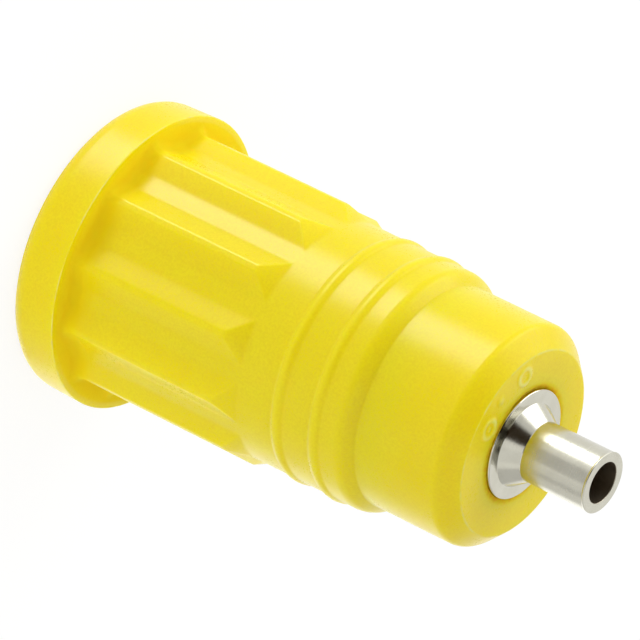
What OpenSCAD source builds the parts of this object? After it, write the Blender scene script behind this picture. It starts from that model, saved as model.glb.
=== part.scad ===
// Press-in panel socket for a 4 mm banana plug with an insulating sleeve.
// Units are millimetres. The origin is the centre of the flange's front face, and +Z runs to the tail.

/* [Flange] */
// Diameter of the flange at its sharp rear edge
flange_d = 14.5; // [14:0.1:18]
// Thickness of the flange
flange_t = 2.7; // [1.6:0.05:3.5]
// Draft of the flange's rim, in degrees
flange_draft = 2; // [0:0.5:6]
// Radius of the flange's front edge
flange_edge_r = 0.9; // [0.3:0.1:1.1]
// Radius of the fillet between flange and shank
flange_root_r = 0.4; // [0.1:0.05:0.45]

/* [Shank] */
// Diameter of the shank
shank_d = 11.8; // [11.4:0.1:12.4]
// Length of the shank behind the flange
shank_l = 15.4; // [15:0.1:20]

/* [Press-in ribs] */
// Number of ribs round the shank
rib_count = 12; // [6:1:14]
// Diameter over the rib crests
rib_d = 12.8; // [12.5:0.1:13.6]
// Width of a rib where it leaves the shank
rib_base_w = 2.2; // [1.4:0.1:2.5]
// Width of the land on a rib's crest
rib_crest_w = 0.3; // [0.2:0.05:0.6]
// Length of the full-height crest behind the flange
rib_l = 8.6; // [6:0.05:9.5]
// Length of the slope at a rib's end
rib_end_l = 1; // [0.5:0.1:1.5]

/* [Beads] */
// Number of raised rings round the shank
bead_count = 2; // [1:1:2]
// Distance of the first ring behind the flange
bead_at = 11.9; // [11.4:0.1:12.5]
// Distance between two rings
bead_pitch = 2.1; // [1:0.1:2.2]
// Width of a ring
bead_w = 0.55; // [0.4:0.05:0.8]
// Height of a ring above the shank
bead_h = 0.15; // [0.1:0.05:0.2]

/* [Rear barrel] */
// Diameter of the smooth barrel behind the shank
barrel_d = 10.8; // [10.4:0.1:11.2]
// Length of the sloping step from shank to barrel
step_l = 0.55; // [0.2:0.05:0.8]
// Radius of the edge where the step begins
step_edge_r = 0.6; // [0.1:0.1:0.7]
// Length of the barrel with its chamfer
barrel_l = 5.3; // [4.8:0.1:8]
// Chamfer round the rear face
barrel_chamfer = 0.88; // [0.4:0.02:1.2]

/* [Plug opening] */
// Diameter of the opening that takes the plug's sleeve
sleeve_d = 9.2; // [8.8:0.1:9.6]
// Depth of the opening that takes the plug's sleeve
sleeve_depth = 20; // [18:0.5:20.5]
// Chamfer round the mouth of that opening
mouth_chamfer = 0.3; // [0.1:0.05:0.5]
// Diameter of the insulating post in the middle
post_d = 6.6; // [6.4:0.1:7]
// Distance of the post's tip behind the flange's front face
post_recess = 0.3; // [0:0.1:1]
// Chamfer round the post's tip
post_chamfer = 0.3; // [0.1:0.05:0.4]
// Thickness of the post's tip in front of the contact
tip_t = 2; // [1.2:0.1:2.5]
// Diameter of the pin hole in the post's tip
pin_hole_d = 4.4; // [4.35:0.05:4.6]
// Lead-in chamfer of the pin hole
pin_hole_chamfer = 0.5; // [0.2:0.05:0.6]

/* [Contact] */
// Bore for the plug's pin
pin_bore_d = 4; // [3.9:0.05:4.1]
// Depth of that bore, without its drill point
pin_bore_depth = 18.5; // [16:0.5:19]
// Lead-in chamfer of that bore
pin_bore_chamfer = 0.3; // [0.1:0.05:0.4]
// Outer diameter of the contact's tube in the post
tube_d = 5; // [4.8:0.05:5.05]
// Diameter of the head at the rear
head_d = 5.3; // [5.2:0.05:5.5]
// Length of the head
head_l = 3.1; // [2.8:0.1:3.4]
// Height of the head's rim above the rear face
head_proud = 0.12; // [0:0.02:0.4]
// Width of the flat land round the head's rear end
rim_land = 0.6; // [0.1:0.05:0.8]
// Length of the cone between land and tail
cone_l = 0.8; // [0.4:0.1:1.5]
// Diameter over the retaining barb on the head
barb_d = 5.6; // [5.55:0.05:5.7]
// Length of the retaining barb
barb_l = 0.7; // [0.4:0.1:0.9]
// Distance of the barb behind the head's shoulder
barb_at = 0.5; // [0.3:0.1:0.7]

/* [Tail] */
// Diameter of the hollow tail
tail_d = 2.9; // [2.6:0.1:3.2]
// Length of the tail behind the cone
tail_l = 3.5; // [3:0.05:8]
// Bore of the tail
tail_bore_d = 2; // [1.6:0.1:2.1]
// Depth of the tail's bore, without its drill point
tail_bore_depth = 4; // [2:0.5:4.5]
// Height of the fine lip round the tail's end
lip_h = 0.04; // [0.02:0.01:0.08]
// Length of that lip
lip_l = 0.12; // [0.08:0.02:0.3]

/* [Fits] */
// Radial gap round the head where it shows in the rear face
rear_gap = 0.23; // [0.18:0.01:0.4]
// Depth of that wider rear hole
rear_gap_depth = 1; // [0.5:0.1:1.2]
// Radial clearance of the tube in the post
tube_clear = 0.05; // [0.02:0.01:0.1]
// Clearance of head and barb in their seat
head_clear = 0.02; // [0.01:0.01:0.04]
// Gap between the contact's front end and the post's tip
end_clear = 0.1; // [0.05:0.05:0.3]

/* [Hidden] */
$fn = 96;
plastic = [0.97, 0.87, 0.07];
nickel = [0.80, 0.78, 0.74];
// Angle of a drill point to the plane across the hole
drill_slope = 31;
// Radii
flange_r = flange_d / 2;
shank_r = shank_d / 2;
rib_r = rib_d / 2;
barrel_r = barrel_d / 2;
sleeve_r = sleeve_d / 2;
post_r = post_d / 2;
pin_hole_r = pin_hole_d / 2;
pin_bore_r = pin_bore_d / 2;
tube_r = tube_d / 2;
head_r = head_d / 2;
barb_r = barb_d / 2;
tail_r = tail_d / 2;
tail_bore_r = tail_bore_d / 2;
// Heights along the axis
step_z = flange_t + shank_l;
barrel_z = step_z + step_l;
rear_z = barrel_z + barrel_l;
rim_z = rear_z + head_proud;
seat_z = rim_z - head_l;
barb_z = seat_z + barb_at;
tail_z = rim_z + cone_l;
end_z = tail_z + tail_l;
tip_z = post_recess + tip_t;
contact_z = tip_z + end_clear;
rear_hole_z = rear_z - rear_gap_depth;
// Overlap of a cutter past the face that it cuts
cut = 1;
// Centre of the round front edge, where the drafted rim just touches it
edge_x = flange_r - (flange_edge_r + (flange_t - flange_edge_r) * sin(flange_draft)) / cos(flange_draft);
// Ribs start in the middle of the shank's wall
rib_foot_r = (sleeve_r + shank_r) / 2;
// Slope of the step to the axis, and how far its rounded edge reaches along shank and slope
step_slope = atan2(shank_r - barrel_r, step_l);
step_reach = step_edge_r * tan(step_slope / 2);
// A ring's section is a circle that stands bead_h out of the shank
bead_r = (bead_w * bead_w / 4 + bead_h * bead_h) / (2 * bead_h);

// Depth of the drill point of a hole of radius r
function drill_point(r) = r * tan(drill_slope);

// A ring-shaped cutter or solid: radius r0 to r1, height z0 to z1
module band(r0, r1, z0, z1) {
    translate([r0, z0])
        square([r1 - r0, z1 - z0]);
}

// Half-section of the flange: rounded front edge, drafted rim, sharp rear edge
module flange_section() {
    polygon([
        [0, 0],
        [edge_x, 0],
        [edge_x + flange_edge_r * cos(flange_draft), flange_edge_r * (1 - sin(flange_draft))],
        [flange_r, flange_t],
        [0, flange_t]
    ]);
    translate([edge_x, flange_edge_r])
        circle(r = flange_edge_r);
}

// Half-section of the fillet under the flange
module root_section() {
    difference() {
        band(shank_r - flange_root_r, shank_r + flange_root_r, flange_t - flange_root_r, flange_t + flange_root_r);
        translate([shank_r + flange_root_r, flange_t + flange_root_r])
            circle(r = flange_root_r);
    }
}

// Half-section of the shank, its step with the rounded edge, and the chamfered barrel
module shank_section() {
    polygon([
        [0, 0],
        [shank_r, 0],
        [shank_r, step_z - step_reach],
        [shank_r - step_reach * sin(step_slope), step_z + step_reach * cos(step_slope)],
        [barrel_r, barrel_z],
        [barrel_r, rear_z - barrel_chamfer],
        [barrel_r - barrel_chamfer, rear_z],
        [0, rear_z]
    ]);
    translate([shank_r - step_edge_r, step_z - step_reach])
        circle(r = step_edge_r);
}

// Half-sections of the raised rings
module bead_sections() {
    for (i = [0:bead_count - 1])
        translate([shank_r + bead_h - bead_r, flange_t + bead_at + i * bead_pitch])
            circle(r = bead_r);
}

// Half-section of the ring-shaped gap round the post, with its chamfered mouth
module sleeve_gap_section() {
    band(post_r, sleeve_r, 0, sleeve_depth);
    band(0, sleeve_r, -cut, post_recess);
    polygon([
        [post_r, -cut],
        [sleeve_r + mouth_chamfer + cut, -cut],
        [sleeve_r, mouth_chamfer],
        [post_r, mouth_chamfer]
    ]);
    polygon([
        [post_r - post_chamfer, post_recess],
        [post_r, post_recess],
        [post_r, post_recess + post_chamfer]
    ]);
}

// Half-section of the hole through the post and the floor that holds the contact
module contact_hole_section() {
    polygon([
        [0, 0],
        [pin_hole_r + pin_hole_chamfer + post_recess, 0],
        [pin_hole_r, post_recess + pin_hole_chamfer],
        [0, post_recess + pin_hole_chamfer]
    ]);
    band(0, pin_hole_r, 0, tip_z + cut);
    band(0, tube_r + tube_clear, tip_z, seat_z);
    band(0, head_r + head_clear, seat_z, rear_z + cut);
    band(0, barb_r + head_clear, barb_z - head_clear, barb_z + barb_l + head_clear);
    band(0, head_r + rear_gap, rear_hole_z, rear_z + cut);
}

// Section across one rib, standing along +X
module rib_section() {
    base_x = sqrt(shank_r * shank_r - rib_base_w * rib_base_w / 4);
    polygon([
        [rib_foot_r, -rib_base_w / 2],
        [base_x, -rib_base_w / 2],
        [rib_r, -rib_crest_w / 2],
        [rib_r + cut, -rib_crest_w / 2],
        [rib_r + cut, rib_crest_w / 2],
        [rib_r, rib_crest_w / 2],
        [base_x, rib_base_w / 2],
        [rib_foot_r, rib_base_w / 2]
    ]);
}

// Space that the ribs fill: full height behind the flange, then the slope at their ends
module rib_envelope() {
    rotate_extrude()
        polygon([
            [0, flange_t / 2],
            [rib_r, flange_t / 2],
            [rib_r, flange_t + rib_l],
            [shank_r, flange_t + rib_l + rib_end_l],
            [rib_foot_r, flange_t + rib_l + rib_end_l],
            [0, flange_t + rib_l + rib_end_l]
        ]);
}

module ribs() {
    intersection() {
        rib_envelope();
        for (i = [0:rib_count - 1])
            rotate([0, 0, i * 360 / rib_count])
                linear_extrude(height = flange_t + rib_l + rib_end_l + cut)
                    rib_section();
    }
}

module insulating_body() {
    color(plastic) {
        rotate_extrude()
            difference() {
                union() {
                    flange_section();
                    root_section();
                    shank_section();
                    bead_sections();
                }
                sleeve_gap_section();
                contact_hole_section();
            }
        ribs();
    }
}

// Half-section of the contact's outside
module contact_outline() {
    polygon([
        [0, contact_z],
        [tube_r, contact_z],
        [tube_r, seat_z],
        [head_r, seat_z],
        [head_r, barb_z],
        [barb_r, barb_z + barb_l],
        [head_r, barb_z + barb_l],
        [head_r, rim_z],
        [head_r - rim_land, rim_z],
        [tail_r, tail_z],
        [tail_r, end_z - lip_l],
        [tail_r + lip_h, end_z],
        [0, end_z]
    ]);
}

// Half-section of the pin's bore, open at the front, with its lead-in and drill point
module pin_bore_section() {
    polygon([
        [0, contact_z - cut],
        [pin_bore_r + pin_bore_chamfer + cut, contact_z - cut],
        [pin_bore_r, contact_z + pin_bore_chamfer],
        [pin_bore_r, contact_z + pin_bore_depth],
        [0, contact_z + pin_bore_depth + drill_point(pin_bore_r)]
    ]);
}

// Half-section of the tail's bore, open at the rear, with its drill point
module tail_bore_section() {
    polygon([
        [0, end_z + cut],
        [tail_bore_r, end_z + cut],
        [tail_bore_r, end_z - tail_bore_depth],
        [0, end_z - tail_bore_depth - drill_point(tail_bore_r)]
    ]);
}

module contact() {
    color(nickel)
        rotate_extrude()
            difference() {
                contact_outline();
                pin_bore_section();
                tail_bore_section();
            }
}

insulating_body();
contact();
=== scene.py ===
"""A press-in panel socket for a 4 mm banana plug, standing on its flange with the tail up.

The housing is one yellow moulding, spun from its outline and pushed out into twelve ribs.
The contact is one turned and nickel-plated piece, spun from its outline.
"""
import math
import bmesh
import bpy
from mathutils import Matrix, Quaternion, Vector

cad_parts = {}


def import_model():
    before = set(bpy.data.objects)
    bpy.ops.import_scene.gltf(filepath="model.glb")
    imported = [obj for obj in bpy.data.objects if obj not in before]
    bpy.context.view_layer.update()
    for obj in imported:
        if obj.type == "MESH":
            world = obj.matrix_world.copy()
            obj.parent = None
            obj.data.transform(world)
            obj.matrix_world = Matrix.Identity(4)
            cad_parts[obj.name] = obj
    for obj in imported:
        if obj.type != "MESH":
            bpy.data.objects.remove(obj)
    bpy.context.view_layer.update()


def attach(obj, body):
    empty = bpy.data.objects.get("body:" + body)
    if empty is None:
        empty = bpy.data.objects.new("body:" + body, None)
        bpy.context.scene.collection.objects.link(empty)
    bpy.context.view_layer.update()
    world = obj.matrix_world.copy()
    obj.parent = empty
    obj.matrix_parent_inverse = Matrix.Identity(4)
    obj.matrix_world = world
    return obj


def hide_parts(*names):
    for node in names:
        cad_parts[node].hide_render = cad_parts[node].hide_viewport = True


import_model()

MM = 0.001

# Flange, in millimetres
FLANGE_R = 7.25
FLANGE_T = 2.7
FLANGE_DRAFT = math.radians(2)
FLANGE_EDGE_R = 0.9
FLANGE_REAR_EDGE = 0.05
ROOT_FILLET = 0.45

# Shank with its ribs and raised rings
SHANK_R = 5.9
SHANK_L = 15.4
SHANK_END_EDGE = 0.6
RIB_COUNT = 12
RIB_R = 6.4
RIB_BASE_W = 2.2
RIB_CREST_W = 0.3
RIB_L = 8.6
RIB_END_L = 1.0
RIB_CREST_BLEND = 0.035
RIB_FOOT_BLEND = 0.07
BEAD_AT = (11.9, 14.0)
BEAD_W = 0.55
BEAD_H = 0.15
BEAD_FOOT_R = 0.2
BEAD_TOP_R = 0.35
# The rounded feet widen a bead by this on each side. Its top is rounded from a corner this many times as high
BEAD_SPREAD = 0.025
BEAD_CORNER = 1.3

# Rear barrel
BARREL_R = 5.4
STEP_L = 0.55
BARREL_L = 5.3
BARREL_FOOT_R = 0.12
BARREL_CHAMFER = 0.88
CHAMFER_EDGE_R = 0.4
FACE_EDGE_R = 0.12

# Opening for the plug's sleeve, and the post in it
SLEEVE_R = 4.6
SLEEVE_DEPTH = 20.0
MOUTH_CHAMFER = 0.3
MOUTH_EDGE_R = 0.06
SLEEVE_END_R = 0.1
POST_R = 3.3
POST_RECESS = 0.3
POST_CHAMFER = 0.3
POST_EDGE_R = 0.08
TIP_T = 2.0
PIN_HOLE_R = 2.2
PIN_HOLE_CHAMFER = 0.5
PIN_HOLE_INNER_EDGE_R = 0.1
PIN_HOLE_OUTER_EDGE_R = 0.05

# Contact
PIN_BORE_R = 2.0
PIN_BORE_DEPTH = 18.5
PIN_BORE_CHAMFER = 0.3
PIN_BORE_END_R = 0.1
PIN_BORE_INNER_EDGE_R = 0.08
PIN_BORE_OUTER_EDGE_R = 0.04
TUBE_R = 2.5
TUBE_EDGE_R = 0.05
HEAD_R = 2.65
HEAD_L = 3.1
HEAD_PROUD = 0.12
HEAD_EDGE_R = 0.07
RIM_LAND = 0.6
CONE_L = 0.8
CONE_EDGE_R = 0.05
BARB_R = 2.8
BARB_L = 0.7
BARB_AT = 0.5
TAIL_R = 1.45
TAIL_L = 3.5
TAIL_BORE_R = 1.0
TAIL_BORE_DEPTH = 4.0
LIP_H = 0.04
LIP_L = 0.12
LIP_FOOT_R = 0.05
LIP_EDGE_R = 0.03
TAIL_BORE_END_R = 0.1
DRILL_SLOPE = math.radians(31)

# Fits
TUBE_CLEAR = 0.05
HEAD_CLEAR = 0.02
END_CLEAR = 0.1

# Gap round the contact's head in the rear face: its width and depth where it is widest, and that direction
REAR_GAP = 0.23
REAR_GROOVE = 0.045
GAP_WIDEST = math.radians(-140)
GAP_EDGE_R = 0.06
# How far past the gap the face still gives way, the waves of the hole's edge, each with how many there are,
# how far they reach as a share of the gap and where they start, and the most of the gap that is filled
GAP_SURROUND = 0.12
GAP_WAVES = ((7, 0.08, 0), (19, 0.09, 1))
GAP_FILLED = 0.97

# Heights along the axis
STEP_Z = FLANGE_T + SHANK_L
BARREL_Z = STEP_Z + STEP_L
REAR_Z = BARREL_Z + BARREL_L
RIM_Z = REAR_Z + HEAD_PROUD
SEAT_Z = RIM_Z - HEAD_L
BARB_Z = SEAT_Z + BARB_AT
TAIL_Z = RIM_Z + CONE_L
END_Z = TAIL_Z + TAIL_L
TIP_Z = POST_RECESS + TIP_T
CONTACT_Z = TIP_Z + END_CLEAR
RIB_END_Z = FLANGE_T + RIB_L
RIB_STOP_Z = RIB_END_Z + RIB_END_L

# Low raised marks that the mould left on the rear face, each a ring or, with no radius, a dot:
# angle from +X in degrees, distance from the axis, radius, and half the width of its bead
FACE_MARKS = ((-72, 3.47, 0.42, 0.17), (-72, 3.47, 0, 0.17), (-92, 3.85, 0, 0.3), (-119, 3.77, 0.40, 0.17))
MARK_HEIGHT = 0.06
# Space between the rings of points that the rear face has for them, and the plain rims beside those rings
FACE_RING_STEP = 0.06
FACE_RIM = 0.12
FACE_INNER_RIM = 0.14

# The camera looks at the tail end from above, turned about its own line of sight. Lengths here are in metres,
# but for the lens and the sensor, which are in millimetres
AZIMUTH = math.radians(16.7)
ELEVATION = math.radians(29.52)
ROLL = math.radians(116.01)
DISTANCE = 0.3165
TARGET_Z = 0.01188
TARGET_SIDE = 0.000985
LENS = 393.75
SENSOR = 36


def camera():
    """The camera, and its own right, up and back directions."""
    level = math.cos(ELEVATION)
    back = Vector((math.sin(AZIMUTH) * level, -math.cos(AZIMUTH) * level, math.sin(ELEVATION)))
    side = Vector((-math.cos(AZIMUTH), -math.sin(AZIMUTH), 0))
    target = side * TARGET_SIDE + Vector((0, 0, TARGET_Z))
    data = bpy.data.cameras.new("camera")
    data.sensor_width = SENSOR
    data.lens = LENS
    data.clip_start = 0.01
    data.clip_end = 5
    obj = bpy.data.objects.new("camera", data)
    bpy.context.scene.collection.objects.link(obj)
    obj.rotation_mode = "QUATERNION"
    obj.location = target + back * DISTANCE
    obj.rotation_quaternion = (-back).to_track_quat("-Z", "Y") @ Quaternion((0, 0, 1), ROLL)
    bpy.context.scene.camera = obj
    turn = obj.rotation_quaternion
    return target, turn @ Vector((1, 0, 0)), turn @ Vector((0, 1, 0)), turn @ Vector((0, 0, 1))


target, view_right, view_up, view_back = camera()


def from_view(right, up, back):
    """A direction given in the camera's own right, up and back."""
    return (view_right * right + view_up * up + view_back * back).normalized()


# Meshes

# Largest turn between two neighbouring faces of a rounded corner
ARC_STEP = math.radians(16)
CONTACT_COLUMNS = 160
# Length of the short face beside each rounded corner, which keeps the long face's shading true
SHORT_FACE = 0.03
# Angles from a rib's middle to the middle of the valley beside it, in degrees
RIB_ANGLES = (0, 0.8, 1.07, 1.343, 1.61, 1.88, 3.3, 4.8, 6.2, 7.7, 9.28, 10.01, 10.74, 11.47, 12.2, 13.6, 15)
# Rings of points on the ribs: at these distances from the flange, before a rib's slope, down it as shares of
# its length, and after it
PLAIN_RINGS = (2.6, 5.4)
RINGS_BEFORE = (0.14, 0.07)
RINGS_ON_SLOPE = (0, 0.06, 0.12, 0.35, 0.6, 0.85, 0.93, 1)
RINGS_AFTER = (0.07, 0.15)
# Room that the outline has for those rings past the slope, and the least length of a slope
RINGS_ROOM = 0.2
SHORTEST_SLOPE = 0.12
# Length of plain shank past the ribs that is still looked at with them
PAST_RIBS = 1
# Distances within which a point counts as being on a ring, on the skin or on the rear face
ON_RING = 0.004
ON_SKIN = 0.01
ON_FACE = 0.001
# Points closer together than this are merged
MERGE = 0.002


def outline(points, closed):
    """A wire outline in the XZ plane from (radius, height, corner rounding), in millimetres."""
    bm = bmesh.new()
    verts = [bm.verts.new((r * MM, 0, z * MM)) for r, z, _ in points]
    for first, second in zip(verts, verts[1:]):
        bm.edges.new((first, second))
    if closed:
        bm.edges.new((verts[-1], verts[0]))
    for corner, (_, _, rounding) in zip(verts, points):
        if rounding:
            round_corner(bm, corner, rounding * MM)
    return bm


def round_corner(bm, corner, radius):
    """Rounds one corner of a wire outline with an arc of that radius."""
    sides = [(edge.other_vert(corner).co - corner.co).normalized() for edge in corner.link_edges]
    half = sides[0].angle(sides[1]) / 2
    back_off = radius / math.tan(half)
    for edge in list(corner.link_edges):
        reach = back_off + SHORT_FACE * MM
        if edge.calc_length() > reach + SHORT_FACE * MM:
            bmesh.utils.edge_split(edge, corner, reach / edge.calc_length())
    steps = max(2, round((math.pi - 2 * half) / ARC_STEP))
    bmesh.ops.bevel(bm, geom=[corner], offset=back_off, offset_type="OFFSET", segments=steps,
                    profile=0.5, affect="VERTICES", material=-1)


def spin_outline(bm, steps):
    """Turns a wire outline round the Z axis into a closed skin."""
    bmesh.ops.spin(bm, geom=bm.verts[:] + bm.edges[:], cent=(0, 0, 0), axis=(0, 0, 1), dvec=(0, 0, 0),
                   angle=2 * math.pi, steps=steps, use_merge=True, use_duplicate=False)
    bmesh.ops.remove_doubles(bm, verts=bm.verts[:], dist=MERGE * MM)
    bmesh.ops.recalc_face_normals(bm, faces=bm.faces[:])


def finished(bm, name, material):
    """The piece made of that mesh, smooth, riding on the socket's one body."""
    mesh = bpy.data.meshes.new(name)
    bm.to_mesh(mesh)
    bm.free()
    for polygon in mesh.polygons:
        polygon.use_smooth = True
    mesh.materials.append(material)
    piece = bpy.data.objects.new(name, mesh)
    bpy.context.scene.collection.objects.link(piece)
    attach(piece, "root")
    return piece


def soft_min(a, b, blend):
    """The smaller of two values, rounded over where they are within the blend of each other."""
    share = max(blend - abs(a - b), 0) / blend
    return min(a, b) - share * share * blend / 4


def soft_max(a, b, blend):
    """The larger of two values, rounded over in the same way."""
    return -soft_min(-a, -b, blend)


def flank_radius(angle):
    """Distance from the axis to a rib's flank at that angle from the rib's middle."""
    foot_x = math.sqrt(SHANK_R ** 2 - RIB_BASE_W ** 2 / 4)
    lean = math.atan2(RIB_R - foot_x, (RIB_BASE_W - RIB_CREST_W) / 2)
    reach = RIB_R * math.cos(lean) + RIB_CREST_W / 2 * math.sin(lean)
    return reach / math.cos(abs(angle) - lean)


def rib_radius(angle, z):
    """Radius of the shank's skin at an angle from the nearest rib's middle, and a height in millimetres."""
    across = soft_min(RIB_R, flank_radius(angle), RIB_CREST_BLEND)
    slope = RIB_R - (z - RIB_END_Z) * (RIB_R - SHANK_R) / RIB_END_L
    ridge = soft_min(across, slope, RIB_CREST_BLEND)
    return soft_max(SHANK_R, ridge, RIB_FOOT_BLEND)


def slope_start(angle):
    """Height at which the slope at a rib's end begins, at that angle from the rib's middle."""
    crest = min(RIB_R, flank_radius(angle))
    start = RIB_END_Z + (RIB_R - crest) * RIB_END_L / (RIB_R - SHANK_R)
    return min(start, RIB_STOP_Z - SHORTEST_SLOPE)


def push_out_ribs(bm, columns, ring_z):
    """Shares out the columns over the ribs, moves the rings to the ribs' slopes and pushes the skin out."""
    per_rib = columns // RIB_COUNT
    for vert in bm.verts:
        radius = math.hypot(vert.co.x, vert.co.y) / MM
        column = round(math.atan2(vert.co.y, vert.co.x) / (2 * math.pi) * columns) % columns
        rib, place = divmod(column + per_rib // 2, per_rib)
        place -= per_rib // 2
        offset = math.copysign(RIB_ANGLES[abs(place)], place)
        angle = math.radians(rib * 360 / RIB_COUNT + offset)
        z = vert.co.z / MM
        on_shank = SHANK_R - ON_SKIN < radius < SHANK_R + ROOT_FILLET + SHORT_FACE + ON_SKIN
        if on_shank and FLANGE_T - ON_FACE < z < RIB_STOP_Z + PAST_RIBS:
            ring = min(ring_z, key=lambda name: abs(ring_z[name] - z))
            if abs(ring_z[ring] - z) < ON_RING:
                start = slope_start(math.radians(offset))
                kind, value = ring
                if kind == "before":
                    z = start - value
                elif kind == "slope":
                    z = start + value * (RIB_STOP_Z - start)
                elif kind == "after":
                    z = RIB_STOP_Z + value
            radius += rib_radius(math.radians(offset), max(z, FLANGE_T)) - SHANK_R
        vert.co = Vector((radius * math.cos(angle) * MM, radius * math.sin(angle) * MM, z * MM))


def uneven_rear_hole(bm):
    """Draws the rear hole's wall in, so that the gap round the head is uneven as moulded."""
    seat_r = HEAD_R + HEAD_CLEAR
    hole_r = HEAD_R + REAR_GAP
    for vert in bm.verts:
        radius = math.hypot(vert.co.x, vert.co.y) / MM
        if not seat_r < radius < hole_r + GAP_SURROUND or vert.co.z / MM < REAR_Z - REAR_GROOVE:
            continue
        angle = math.atan2(vert.co.y, vert.co.x)
        facing = max(math.cos(angle - GAP_WIDEST), 0)
        share = 1 - facing ** 4
        for count, reach, start in GAP_WAVES:
            share += reach * math.sin(count * angle + start)
        share = min(max(share, 0), GAP_FILLED)
        scale = 1 - (min(radius, hole_r) - seat_r) * share / radius
        vert.co.x *= scale
        vert.co.y *= scale
        vert.co.z += (REAR_Z * MM - vert.co.z) * share


def raise_face_marks(bm):
    """Lifts the rear face into its low rings and dots."""
    for vert in bm.verts:
        if abs(vert.co.z / MM - REAR_Z) > ON_FACE:
            continue
        lift = 0
        for angle, distance, ring_r, half_width in FACE_MARKS:
            centre = Matrix.Rotation(math.radians(angle), 3, "Z") @ Vector((distance, 0, 0))
            from_centre = math.hypot(vert.co.x / MM - centre.x, vert.co.y / MM - centre.y)
            away = (from_centre - ring_r) / half_width
            lift = max(lift, MARK_HEIGHT * max(1 - away * away, 0) ** 2)
        vert.co.z += lift * MM


def bead_points(z):
    """One raised ring of the shank: up, round and down again."""
    half = BEAD_W / 2 + BEAD_SPREAD
    top = SHANK_R + BEAD_H * BEAD_CORNER
    return [(SHANK_R, z - half, BEAD_FOOT_R), (top, z, BEAD_TOP_R), (SHANK_R, z + half, BEAD_FOOT_R)]


def rib_ring_heights():
    """The rings of the ribs' part of the shank, at the heights where the outline first has them."""
    rings = {("plain", distance): FLANGE_T + distance for distance in PLAIN_RINGS}
    names = [("before", v) for v in RINGS_BEFORE] + [("slope", v) for v in RINGS_ON_SLOPE]
    names += [("after", v) for v in RINGS_AFTER]
    span = RIB_STOP_Z + RINGS_ROOM - RIB_END_Z
    for i, name in enumerate(names):
        rings[name] = RIB_END_Z + span * i / (len(names) - 1)
    return rings


def housing_outline():
    """The housing's outline, from its mouth round the outside and back through the inside, and its rings."""
    front_r = FLANGE_R - FLANGE_T * math.tan(FLANGE_DRAFT)
    points = [(SLEEVE_R + MOUTH_CHAMFER, 0, MOUTH_EDGE_R), (front_r, 0, FLANGE_EDGE_R),
              (FLANGE_R, FLANGE_T, FLANGE_REAR_EDGE), (SHANK_R, FLANGE_T, ROOT_FILLET)]
    rings = rib_ring_heights()
    points += [(SHANK_R, z, 0) for z in rings.values()]
    for bead in BEAD_AT:
        points += bead_points(FLANGE_T + bead)
    face_r = BARREL_R - BARREL_CHAMFER
    points += [(SHANK_R, STEP_Z, SHANK_END_EDGE), (BARREL_R, BARREL_Z, BARREL_FOOT_R),
               (BARREL_R, REAR_Z - BARREL_CHAMFER, CHAMFER_EDGE_R), (face_r, REAR_Z, FACE_EDGE_R)]
    gap_r = HEAD_R + REAR_GAP
    first_r = face_r - FACE_RIM
    span = first_r - gap_r - FACE_INNER_RIM
    count = round(span / FACE_RING_STEP)
    points += [(first_r - span * i / count, REAR_Z, 0) for i in range(count + 1)]
    seat_r = HEAD_R + HEAD_CLEAR
    barb_r = BARB_R + HEAD_CLEAR
    points += [(gap_r, REAR_Z, GAP_EDGE_R), (seat_r, REAR_Z - REAR_GROOVE, 0)]
    points += [(seat_r, BARB_Z + BARB_L + HEAD_CLEAR, 0), (barb_r, BARB_Z + BARB_L + HEAD_CLEAR, 0),
               (barb_r, BARB_Z - HEAD_CLEAR, 0), (seat_r, BARB_Z - HEAD_CLEAR, 0), (seat_r, SEAT_Z, 0)]
    points += [(TUBE_R + TUBE_CLEAR, SEAT_Z, 0), (TUBE_R + TUBE_CLEAR, TIP_Z, 0), (PIN_HOLE_R, TIP_Z, 0)]
    points += [(PIN_HOLE_R, POST_RECESS + PIN_HOLE_CHAMFER, PIN_HOLE_INNER_EDGE_R),
               (PIN_HOLE_R + PIN_HOLE_CHAMFER, POST_RECESS, PIN_HOLE_OUTER_EDGE_R)]
    points += [(POST_R - POST_CHAMFER, POST_RECESS, POST_EDGE_R),
               (POST_R, POST_RECESS + POST_CHAMFER, POST_EDGE_R), (POST_R, SLEEVE_DEPTH, SLEEVE_END_R)]
    points += [(SLEEVE_R, SLEEVE_DEPTH, SLEEVE_END_R), (SLEEVE_R, MOUTH_CHAMFER, MOUTH_EDGE_R)]
    return points, rings


def housing(material):
    """The yellow moulding, spun, pushed out into ribs and given its small unevennesses."""
    points, rings = housing_outline()
    bm = outline(points, closed=True)
    columns = RIB_COUNT * 2 * (len(RIB_ANGLES) - 1)
    spin_outline(bm, columns)
    push_out_ribs(bm, columns, rings)
    uneven_rear_hole(bm)
    raise_face_marks(bm)
    bmesh.ops.recalc_face_normals(bm, faces=bm.faces[:])
    piece = finished(bm, "moulded_housing", material)
    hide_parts("insulating_body")
    return piece


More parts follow.
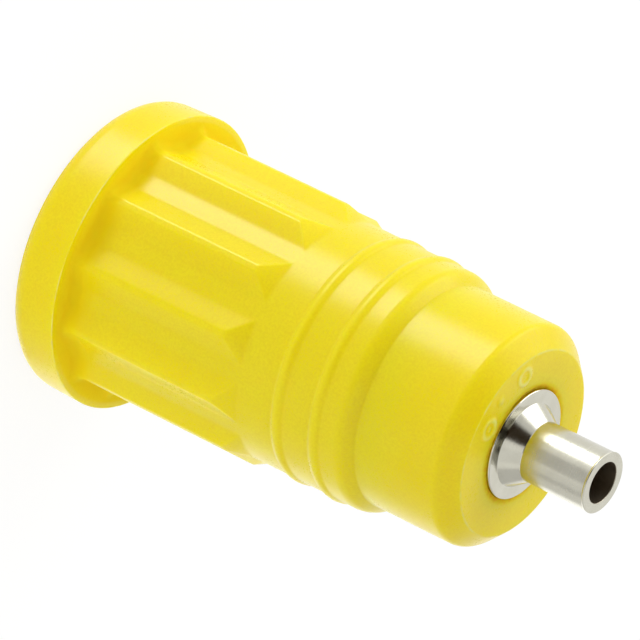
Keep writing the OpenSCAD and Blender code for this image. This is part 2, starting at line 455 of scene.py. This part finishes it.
def contact_outline():
    """The contact's outline from the end of the pin bore over the outside to the end of the tail's bore."""
    bore_bottom = CONTACT_Z + PIN_BORE_DEPTH
    points = [(0, bore_bottom + PIN_BORE_R * math.tan(DRILL_SLOPE), 0)]
    points += [(PIN_BORE_R, bore_bottom, PIN_BORE_END_R),
               (PIN_BORE_R, CONTACT_Z + PIN_BORE_CHAMFER, PIN_BORE_INNER_EDGE_R),
               (PIN_BORE_R + PIN_BORE_CHAMFER, CONTACT_Z, PIN_BORE_OUTER_EDGE_R)]
    points += [(TUBE_R, CONTACT_Z, TUBE_EDGE_R), (TUBE_R, SEAT_Z, 0), (HEAD_R, SEAT_Z, 0)]
    points += [(HEAD_R, BARB_Z, 0), (BARB_R, BARB_Z + BARB_L, 0), (HEAD_R, BARB_Z + BARB_L, 0)]
    points += [(HEAD_R, RIM_Z, HEAD_EDGE_R), (HEAD_R - RIM_LAND, RIM_Z, CONE_EDGE_R)]
    points += [(TAIL_R, TAIL_Z, CONE_EDGE_R), (TAIL_R, END_Z - LIP_L, LIP_FOOT_R)]
    points += [(TAIL_R + LIP_H, END_Z, LIP_EDGE_R)]
    tail_bottom = END_Z - TAIL_BORE_DEPTH
    points += [(TAIL_BORE_R, END_Z, LIP_EDGE_R), (TAIL_BORE_R, tail_bottom, TAIL_BORE_END_R)]
    points += [(0, tail_bottom - TAIL_BORE_R * math.tan(DRILL_SLOPE), 0)]
    return points


def contact(material):
    """The turned contact."""
    bm = outline(contact_outline(), closed=False)
    spin_outline(bm, CONTACT_COLUMNS)
    piece = finished(bm, "turned_contact", material)
    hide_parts("contact")
    return piece


# Shader node helpers

def put(tree, value, socket):
    """Links a socket, or sets a plain value, on the input socket given."""
    if isinstance(value, bpy.types.NodeSocket):
        tree.links.new(value, socket)
    else:
        socket.default_value = value


def calc(tree, operation, *values):
    """One sum on values or sockets."""
    node = tree.nodes.new("ShaderNodeMath")
    node.operation = operation
    for value, socket in zip(values, node.inputs):
        put(tree, value, socket)
    return node.outputs[0]


def ramp(tree, value, low, high, to_low=0.0, to_high=1.0):
    """A value led smoothly from one range to another, and held at its ends."""
    node = tree.nodes.new("ShaderNodeMapRange")
    node.interpolation_type = "SMOOTHSTEP"
    given = {"Value": value, "From Min": low, "From Max": high, "To Min": to_low, "To Max": to_high}
    for name, number in given.items():
        put(tree, number, node.inputs[name])
    return node.outputs["Result"]


def noise(tree, place, scale, detail=2.0, roughness=0.5):
    """Noise from 0 to 1 at that many features for each unit of the place given."""
    node = tree.nodes.new("ShaderNodeTexNoise")
    put(tree, place, node.inputs["Vector"])
    put(tree, scale, node.inputs["Scale"])
    node.inputs["Detail"].default_value = detail
    node.inputs["Roughness"].default_value = roughness
    return node.outputs["Fac"]


# Places of the colour sockets on a Mix node, which has one pair of the same name for each kind of value
COLOUR_A = 6
COLOUR_B = 7
MIXED_COLOUR = 2


def blend(tree, share, first, second):
    """Two colours mixed by a share from 0 to 1."""
    node = tree.nodes.new("ShaderNodeMix")
    node.data_type = "RGBA"
    put(tree, share, node.inputs["Factor"])
    put(tree, first, node.inputs[COLOUR_A])
    put(tree, second, node.inputs[COLOUR_B])
    return node.outputs[MIXED_COLOUR]


def new_group(name, inputs, outputs):
    """An empty node group with those sockets, and its own input and output nodes."""
    tree = bpy.data.node_groups.new(name, "ShaderNodeTree")
    for label, kind in inputs.items():
        tree.interface.new_socket(label, in_out="INPUT", socket_type=kind)
    for label, kind in outputs.items():
        tree.interface.new_socket(label, in_out="OUTPUT", socket_type=kind)
    return tree, tree.nodes.new("NodeGroupInput"), tree.nodes.new("NodeGroupOutput")


def use(tree, group, **values):
    """One use of a node group, with values or links for its inputs."""
    node = tree.nodes.new("ShaderNodeGroup")
    node.node_tree = group
    for label, value in values.items():
        put(tree, value, node.inputs[label.replace("_", " ")])
    return node.outputs


NUMBER = "NodeSocketFloat"
VECTOR = "NodeSocketVector"


def socket_place_group():
    """Object coordinates in millimetres, with the distance from the axis and the height."""
    tree, _, end = new_group("socket_place", {}, {"Place": VECTOR, "Radius": NUMBER, "Height": NUMBER})
    coordinates = tree.nodes.new("ShaderNodeTexCoord")
    scaled = tree.nodes.new("ShaderNodeVectorMath")
    scaled.operation = "SCALE"
    scaled.inputs["Scale"].default_value = 1 / MM
    tree.links.new(coordinates.outputs["Object"], scaled.inputs[0])
    parts = tree.nodes.new("ShaderNodeSeparateXYZ")
    tree.links.new(scaled.outputs[0], parts.inputs[0])
    squares = calc(tree, "ADD", calc(tree, "POWER", parts.outputs["X"], 2.0),
                   calc(tree, "POWER", parts.outputs["Y"], 2.0))
    tree.links.new(scaled.outputs[0], end.inputs["Place"])
    tree.links.new(calc(tree, "SQRT", squares), end.inputs["Radius"])
    tree.links.new(parts.outputs["Z"], end.inputs["Height"])
    return tree


def ring_band_group():
    """A mask that is 1 on a ring round the axis and fades out over its width."""
    inputs = {"Radius": NUMBER, "Height": NUMBER, "Ring Radius": NUMBER, "Ring Height": NUMBER,
              "Width": NUMBER}
    tree, start, end = new_group("ring_band", inputs, {"Mask": NUMBER})
    across = calc(tree, "SUBTRACT", start.outputs["Radius"], start.outputs["Ring Radius"])
    along = calc(tree, "SUBTRACT", start.outputs["Height"], start.outputs["Ring Height"])
    squares = calc(tree, "ADD", calc(tree, "POWER", across, 2.0), calc(tree, "POWER", along, 2.0))
    away = calc(tree, "DIVIDE", calc(tree, "SQRT", squares), start.outputs["Width"])
    tree.links.new(ramp(tree, away, 0.0, 1.0, 1.0, 0.0), end.inputs["Mask"])
    return tree


def fine_grain_group():
    """Fine grain over broad unevenness, each as a height in millimetres, and a mottle from 0 to 1."""
    inputs = {"Place": VECTOR, "Grain Scale": NUMBER, "Grain Height": NUMBER, "Wave Scale": NUMBER,
              "Wave Height": NUMBER}
    tree, start, end = new_group("fine_grain", inputs, {"Height": NUMBER, "Grain": NUMBER, "Mottle": NUMBER})
    grain = noise(tree, start.outputs["Place"], start.outputs["Grain Scale"], 2.0, 0.6)
    wave = noise(tree, start.outputs["Place"], start.outputs["Wave Scale"], 2.0, 0.4)
    height = calc(tree, "ADD", calc(tree, "MULTIPLY", grain, start.outputs["Grain Height"]),
                  calc(tree, "MULTIPLY", wave, start.outputs["Wave Height"]))
    tree.links.new(height, end.inputs["Height"])
    tree.links.new(ramp(tree, grain, 0.25, 0.75), end.inputs["Grain"])
    tree.links.new(ramp(tree, wave, 0.3, 0.7), end.inputs["Mottle"])
    return tree


socket_place = socket_place_group()
ring_band = ring_band_group()
fine_grain = fine_grain_group()


def material(name, **values):
    """A new material, with plain values set on the shader's own sockets."""
    made = bpy.data.materials.new(name)
    made.use_nodes = True
    shader = made.node_tree.nodes["Principled BSDF"]
    for socket, value in values.items():
        shader.inputs[socket.replace("_", " ")].default_value = value
    return made, made.node_tree, shader


def bump(tree, height, shader):
    """Raises the shader's surface by a height in millimetres."""
    node = tree.nodes.new("ShaderNodeBump")
    node.inputs["Distance"].default_value = MM
    put(tree, height, node.inputs["Height"])
    tree.links.new(node.outputs["Normal"], shader.inputs["Normal"])


YELLOW = (0.985, 0.772, 0.002, 1)
YELLOW_PALE = (0.99, 0.792, 0.008, 1)
# Painted shade: the deeper orange put in the corner at the flange's root
ROOT_PAINTED_SHADE = (1.0, 0.74, 0.0003, 1)
GRAIN_SHADE = (0.89, 0.655, 0.001, 1)
# Painted shade and glow in the gap round the contact's head
GAP_SHADE_ORANGE = (1.0, 0.56, 0.0002, 1)
GAP_SHADE_BROWN = (1.0, 0.42, 0.0002, 1)
# A pale flash with a painted highlight along the thin edges
FLASH_AND_HIGHLIGHT_PALE = (0.86, 0.80, 0.40, 1)
MARK_PALE = (0.97, 0.86, 0.22, 1)
# How much of the light sinks into the plastic, and how far red, green and blue light travel in it
SUNK_LIGHT = 0.7
SUNK_LIGHT_REACH = (1.0, 0.75, 0.03)
SUNK_LIGHT_SCALE = 1.5 * MM


def yellow_plastic():
    """Satin moulded plastic that light sinks into, with painted shade deeper in the corners and a pale flash
    with a painted highlight on thin edges.
    """
    made, tree, shader = material("yellow_plastic", Specular_IOR_Level=0.25, Subsurface_Weight=SUNK_LIGHT,
                                  Subsurface_Radius=SUNK_LIGHT_REACH, Subsurface_Scale=SUNK_LIGHT_SCALE)
    where = use(tree, socket_place)
    radius, height = where["Radius"], where["Height"]
    grain = use(tree, fine_grain, Place=where["Place"], Grain_Scale=9.0, Grain_Height=0.0012,
                Wave_Scale=0.5, Wave_Height=0.005)

    def ring(ring_radius, ring_height, width):
        """The mask of a ring round the axis."""
        return use(tree, ring_band, Radius=radius, Height=height, Ring_Radius=ring_radius,
                   Ring_Height=ring_height, Width=width)["Mask"]

    # Masks of the painted shade at the flange's root and round the gap, and of the thin edges that get a
    # painted highlight
    root = ring(SHANK_R + 0.3, FLANGE_T + 0.3, 1.3)
    gap = ring(HEAD_R + 0.05, REAR_Z - 0.05, 0.24)
    round_gap = ring(HEAD_R + 0.05, REAR_Z - 0.05, 0.4)
    flange_edge = ring(FLANGE_R, FLANGE_T, 0.07)
    face_edge = ring(BARREL_R - BARREL_CHAMFER, REAR_Z, 0.08)
    ragged = ramp(tree, noise(tree, where["Place"], 3.5), 0.45, 0.6)
    broken = ramp(tree, noise(tree, where["Place"], 1.3), 0.38, 0.62, 0.1, 0.7)

    # The plain colour with its mottle and grain, and painted shade, a deeper orange, in the corner at the
    # flange's root
    colour = blend(tree, calc(tree, "MULTIPLY", grain["Mottle"], 0.25), YELLOW, YELLOW_PALE)
    colour = blend(tree, calc(tree, "MULTIPLY", grain["Grain"], 0.6), colour, GRAIN_SHADE)
    colour = blend(tree, root, colour, ROOT_PAINTED_SHADE)

    # Painted shade and glow in and round the gap at the contact's head: orange, and brown in ragged places
    tinge = calc(tree, "MULTIPLY", round_gap, calc(tree, "MAXIMUM", ragged, 0.5))
    colour = blend(tree, tinge, colour, GAP_SHADE_ORANGE)
    colour = blend(tree, gap, colour, blend(tree, ragged, GAP_SHADE_ORANGE, GAP_SHADE_BROWN))

    # Pale broken lines on the two thin edges, a pale flash with a painted highlight, and pale tops on the
    # raised marks
    edges = calc(tree, "MAXIMUM", flange_edge, calc(tree, "MULTIPLY", face_edge, 0.7))
    colour = blend(tree, calc(tree, "MULTIPLY", edges, broken), colour, FLASH_AND_HIGHLIGHT_PALE)
    raised = ramp(tree, height, REAR_Z + 0.005, REAR_Z + MARK_HEIGHT)
    colour = blend(tree, calc(tree, "MULTIPLY", raised, calc(tree, "ADD", broken, 0.2)), colour, MARK_PALE)
    tree.links.new(colour, shader.inputs["Base Color"])

    # Satin all over, and matt in the corner at the flange's root and round the gap
    rough = calc(tree, "ADD", ramp(tree, grain["Mottle"], 0.0, 1.0, 0.26, 0.28),
                 calc(tree, "MULTIPLY", grain["Grain"], 0.05))
    under_flange = ramp(tree, height, FLANGE_T + ROOT_FILLET, FLANGE_T + 2 * ROOT_FILLET, 0.6, 0.0)
    near_shank = ramp(tree, radius, RIB_R + ROOT_FILLET, RIB_R + ROOT_FILLET + 0.2, 1.0, 0.0)
    corner = calc(tree, "MAXIMUM", calc(tree, "MULTIPLY", under_flange, near_shank),
                  calc(tree, "MULTIPLY", round_gap, 0.7))
    tree.links.new(calc(tree, "ADD", rough, corner), shader.inputs["Roughness"])
    bump(tree, grain["Height"], shader)
    return made


NICKEL = (0.63, 0.615, 0.52, 1)
NICKEL_DULL = (0.52, 0.50, 0.41, 1)
BORE_BROWN = (0.24, 0.12, 0.03, 1)


def nickel_plate():
    """Bright plate over fine turning lines, duller on the cone and the tail, and brown in the tail's bore."""
    made, tree, shader = material("nickel_plate", Metallic=1)
    where = use(tree, socket_place)
    radius, height = where["Radius"], where["Height"]
    grain = use(tree, fine_grain, Place=where["Place"], Grain_Scale=14.0, Grain_Height=0.0006,
                Wave_Scale=1.2, Wave_Height=0.004)

    # Noise that changes only along the turned outline, so that it runs round the piece as lines
    profile = tree.nodes.new("ShaderNodeCombineXYZ")
    tree.links.new(radius, profile.inputs["X"])
    tree.links.new(height, profile.inputs["Y"])
    lines = noise(tree, profile.outputs[0], 10.0, 3.0, 0.75)

    bore_bottom = END_Z - TAIL_BORE_DEPTH
    in_bore = calc(tree, "MULTIPLY", ramp(tree, radius, TAIL_BORE_R - 0.03, TAIL_BORE_R + 0.03, 1.0, 0.0),
                   ramp(tree, height, bore_bottom - 1.0, bore_bottom))
    colour = blend(tree, calc(tree, "MULTIPLY", grain["Mottle"], 0.35), NICKEL, NICKEL_DULL)
    colour = blend(tree, in_bore, colour, BORE_BROWN)
    tree.links.new(colour, shader.inputs["Base Color"])

    rough = calc(tree, "ADD", ramp(tree, lines, 0.2, 0.8, 0.06, 0.14),
                 calc(tree, "MULTIPLY", grain["Grain"], 0.04))
    on_cone = ramp(tree, height, RIM_Z, RIM_Z + 0.1, 0.0, 0.07)
    on_tail = ramp(tree, height, TAIL_Z, TAIL_Z + 0.5, 0.0, 0.05)
    for more in (on_cone, on_tail, calc(tree, "MULTIPLY", in_bore, 0.3)):
        rough = calc(tree, "ADD", rough, more)
    tree.links.new(rough, shader.inputs["Roughness"])
    bump(tree, calc(tree, "ADD", grain["Height"], calc(tree, "MULTIPLY", lines, 0.0018)), shader)
    return made


housing(yellow_plastic())
contact(nickel_plate())


# Surroundings, with lengths in metres

WORLD_LIGHT = 0.71
LIGHT_DISTANCE = 0.3
FLOOR_R = 0.6
FLOOR_COLOUR = 0.85
# How much of the floor's own shading the camera sees, and the plain white that it sees besides
FLOOR_SHADE = 0.2
FLOOR_WHITE = 0.85
COOL_LIGHT = (0.97, 1, 1)
COOLER_LIGHT = (0.88, 1, 1)
WHITE = (1, 1, 1, 1)
DARK_BROWN = (1, 0.6, 0.25, 1)


def stage_material(name):
    """A material with an empty node tree but for its output."""
    made = bpy.data.materials.new(name)
    made.use_nodes = True
    tree = made.node_tree
    tree.nodes.clear()
    return made, tree, tree.nodes.new("ShaderNodeOutputMaterial").inputs["Surface"]


def world():
    """White to the camera, to gloss and through glass, and a plain level of light on the object."""
    made = bpy.data.worlds.new("studio")
    bpy.context.scene.world = made
    made.use_nodes = True
    tree = made.node_tree
    sky = tree.nodes["Background"]
    sky.inputs["Color"].default_value = WHITE
    path = tree.nodes.new("ShaderNodeLightPath")
    seen = calc(tree, "MAXIMUM", path.outputs["Is Camera Ray"], path.outputs["Is Glossy Ray"])
    seen = calc(tree, "MAXIMUM", seen, path.outputs["Is Transmission Ray"])
    tree.links.new(ramp(tree, seen, 0.0, 1.0, WORLD_LIGHT, 1.0), sky.inputs["Strength"])


def lamp(name, direction, length, width, power, along=None, distance=LIGHT_DISTANCE, centre=target):
    """A soft lamp that shines on a point from that direction, its length lying along the one given."""
    data = bpy.data.lights.new(name, "AREA")
    data.shape = "RECTANGLE"
    data.size = length
    data.size_y = width
    data.energy = power
    obj = bpy.data.objects.new(name, data)
    bpy.context.scene.collection.objects.link(obj)
    across = direction.cross(along or view_right).normalized()
    axes = Matrix((across.cross(direction), across, direction)).transposed()
    obj.rotation_mode = "QUATERNION"
    obj.location = centre + direction * distance
    obj.rotation_quaternion = axes.to_quaternion()
    return obj


def card(name, direction, distance, size, level, colour):
    """A plain sheet beside the camera's view that only reflections see."""
    bm = bmesh.new()
    face = direction.to_track_quat("Z", "Y").to_matrix().to_4x4()
    place = Matrix.Translation(target + direction * distance) @ face
    bmesh.ops.create_grid(bm, x_segments=1, y_segments=1, size=size / 2, matrix=place)
    mesh = bpy.data.meshes.new(name)
    bm.to_mesh(mesh)
    bm.free()
    made, tree, surface = stage_material(name)
    glow = tree.nodes.new("ShaderNodeEmission")
    glow.inputs["Color"].default_value = colour
    glow.inputs["Strength"].default_value = level
    tree.links.new(glow.outputs[0], surface)
    mesh.materials.append(made)
    obj = bpy.data.objects.new(name, mesh)
    bpy.context.scene.collection.objects.link(obj)
    obj.visible_camera = False
    obj.visible_diffuse = False
    obj.visible_shadow = False
    obj.visible_transmission = False


def floor():
    """A pale floor that keeps a soft shadow, white to the camera, and clear from below and to reflections."""
    bm = bmesh.new()
    bmesh.ops.create_circle(bm, cap_ends=True, segments=64, radius=FLOOR_R)
    mesh = bpy.data.meshes.new("floor")
    bm.to_mesh(mesh)
    bm.free()
    made, tree, surface = stage_material("floor")
    seen = tree.nodes.new("ShaderNodeLightPath").outputs["Is Camera Ray"]
    paint = tree.nodes.new("ShaderNodeBsdfDiffuse")
    shade = ramp(tree, seen, 0.0, 1.0, FLOOR_COLOUR, FLOOR_SHADE)
    tree.links.new(shade, paint.inputs["Color"])
    glow = tree.nodes.new("ShaderNodeEmission")
    tree.links.new(calc(tree, "MULTIPLY", seen, FLOOR_WHITE), glow.inputs["Strength"])
    both = tree.nodes.new("ShaderNodeAddShader")
    tree.links.new(paint.outputs[0], both.inputs[0])
    tree.links.new(glow.outputs[0], both.inputs[1])
    sides = tree.nodes.new("ShaderNodeMixShader")
    tree.links.new(tree.nodes.new("ShaderNodeNewGeometry").outputs["Backfacing"], sides.inputs["Fac"])
    tree.links.new(both.outputs[0], sides.inputs[1])
    tree.links.new(tree.nodes.new("ShaderNodeBsdfTransparent").outputs[0], sides.inputs[2])
    tree.links.new(sides.outputs[0], surface)
    mesh.materials.append(made)
    obj = bpy.data.objects.new("floor", mesh)
    bpy.context.scene.collection.objects.link(obj)
    obj.visible_glossy = False
    obj.visible_shadow = False


world()
floor()
strip_softbox = lamp("strip_softbox", from_view(-0.25, 0.96, 0.13), length=0.15, width=0.075, power=0.22,
                     along=from_view(0.60, 0.26, -0.75))
side_softbox = lamp("side_softbox", from_view(0.78, 0.6, 0.06), length=0.14, width=0.26, power=0.285)
for softbox in (strip_softbox, side_softbox):
    softbox.data.color = COOL_LIGHT
flange_fill = lamp("flange_fill", from_view(-0.75, -0.5, 0.43), length=0.02, width=0.02, power=0.0034,
                   distance=0.032, centre=Vector((0, 0, FLANGE_T / 2 * MM)))
flange_fill.data.color = COOLER_LIGHT
flange_fill.visible_glossy = False

# Each card's direction in the camera's own right, up and back, its distance, size, brightness and colour
CARDS = {
    "strip_halo": ((-0.25, 0.96, 0.13), 0.31, 0.17, 3.8, WHITE),
    "left_card": ((-0.82, 0.2, 0.53), 0.3, 0.24, 0.64, WHITE),
    "low_left_card": ((-0.89, -0.42, 0.15), 0.3, 0.16, 0.84, WHITE),
    "lowest_left_card": ((-0.83, -0.55, -0.11), 0.29, 0.1, 0.6, WHITE),
    "under_left_card": ((-0.6, -0.62, -0.5), 0.3, 0.17, 0.84, WHITE),
    "low_card": ((0, -0.93, -0.3), 0.3, 0.27, 0.66, WHITE),
    "low_front_card": ((-0.01, -0.72, 0.69), 0.3, 0.17, 0.87, WHITE),
    "table_card": ((-0.2, -0.32, -0.93), 0.3, 0.24, 1.45, WHITE),
    "upper_right_card": ((0.58, 0.47, 0.67), 0.29, 0.1, 0.74, WHITE),
    "right_grey_card": ((0.75, -0.65, 0.03), 0.31, 0.15, 0.42, WHITE),
    "right_dark_card": ((0.84, -0.45, 0.28), 0.3, 0.2, 0.01, DARK_BROWN),
    "far_right_card": ((0.97, -0.21, 0.0), 0.29, 0.07, 1.7, WHITE),
    "dark_card": ((0.38, 0.12, 0.92), 0.3, 0.23, 0.025, DARK_BROWN),
    "front_right_card": ((0.66, -0.32, 0.68), 0.3, 0.16, 0.01, DARK_BROWN),
    "front_dark_card": ((-0.3, 0.14, 0.94), 0.31, 0.3, 0.05, DARK_BROWN),
}
for name, (direction, distance, size, level, colour) in CARDS.items():
    card(name, from_view(*direction), distance, size, level, colour)

bpy.context.scene.view_settings.view_transform = "Standard"
